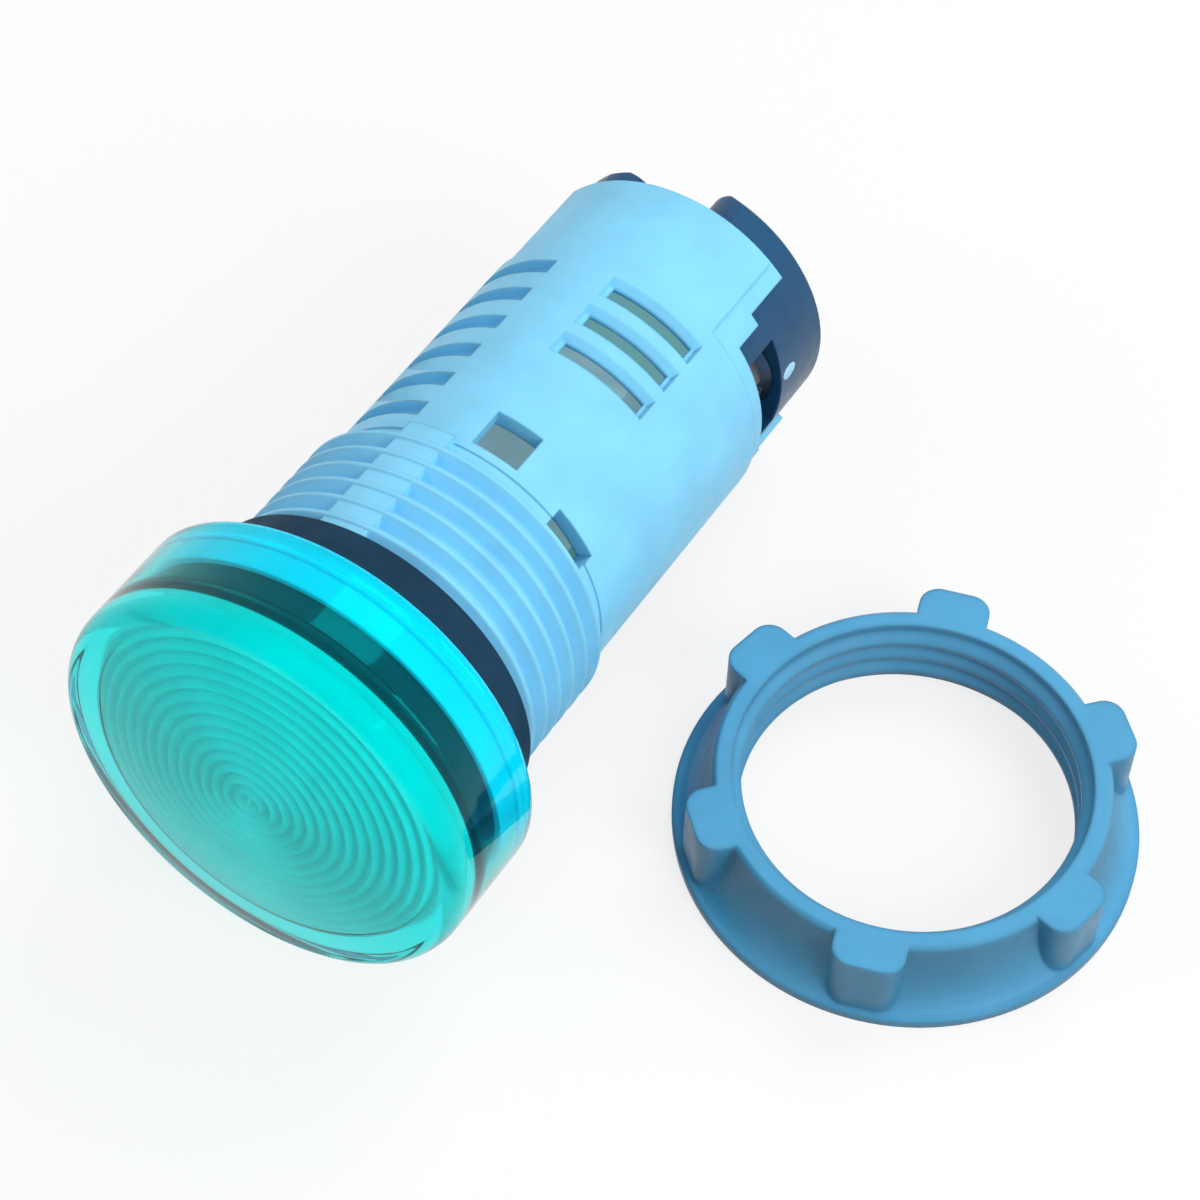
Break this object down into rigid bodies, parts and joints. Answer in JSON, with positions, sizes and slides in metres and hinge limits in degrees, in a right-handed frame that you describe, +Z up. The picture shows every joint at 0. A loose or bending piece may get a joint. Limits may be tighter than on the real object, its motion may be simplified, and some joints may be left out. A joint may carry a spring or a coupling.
{
  "type": "panel pilot light",
  "caption": "Round panel indicator lamp with a domed ringed lens, threaded barrel, screw terminals and its locking nut taken off.",
  "frame": {"origin": "on the floor, in the middle of the space that the lying light and its nut take up together", "axes": "+Z up and along the nut's thread; the lens faces -Y, tilted up by the light's rest on its lens skirt and rear edge; the nut lies towards +X"},
  "size_m": [0.0578, 0.0534, 0.0283],
  "materials": {
    "green_lens": "clear gloss, tinted",
    "white_plastic": "matt, translucent",
    "dark_plastic": "satin",
    "housing_plastic": "fine satin moulding",
    "nut_plastic": "satin moulding",
    "black_rubber": "smooth",
    "circuit_board": "solder mask",
    "led_yellow": "clear resin",
    "black_epoxy": "moulded epoxy",
    "film_box": "smooth",
    "resistor_body": "lacquered",
    "diode_glass": "glass body",
    "brass": "bright",
    "plated_steel": "zinc plated"
  },
  "bodies": {
    "light": {"lens_cap": "green_lens", "diffuser": "white_plastic", "lamp_holder": "dark_plastic", "led_board": "white_plastic", "leds": "led_yellow", "board_pins": "brass", "gasket": "black_rubber", "housing": "housing_plastic", "main_board": "circuit_board", "film_capacitor": "film_box", "smoothing_capacitor": "black_epoxy", "bridge_rectifier": "black_epoxy", "resistors": "resistor_body", "zener_diode": "diode_glass", "terminal_block": "dark_plastic", "contact_left": "brass", "contact_right": "brass", "lock_nut": "nut_plastic"},
    "clamp_left": {"clamp_left": "plated_steel"},
    "clamp_right": {"clamp_right": "plated_steel"},
    "screw_left": {"screw_left": "plated_steel"},
    "screw_right": {"screw_right": "plated_steel"}
  },
  "joints": [
    {"name": "clamp_right_travel", "type": "slide", "parent": "light", "child": "clamp_right", "axis": [0, 0.9959, -0.0903], "range_m": [0, 0.002]},
    {"name": "screw_right_turn", "type": "hinge", "parent": "clamp_right", "child": "screw_right", "pos_m": [-0.0094, 0.0171, 0.01152], "axis": [0, 0.9959, -0.0903], "range_deg": [0, 1440]},
    {"name": "clamp_left_travel", "type": "slide", "parent": "light", "child": "clamp_left", "axis": [0, 0.9959, -0.0903], "range_m": [0, 0.002]},
    {"name": "screw_left_turn", "type": "hinge", "parent": "clamp_left", "child": "screw_left", "pos_m": [-0.0207, 0.01696, 0.01004], "axis": [0, 0.9959, -0.0903], "range_deg": [0, 1440]}
  ],
  "couplings": [
    {"joint": "screw_right_turn", "follows": "clamp_right_travel", "rad_per_m": 12566},
    {"joint": "screw_left_turn", "follows": "clamp_left_travel", "rad_per_m": 12566}
  ]
}
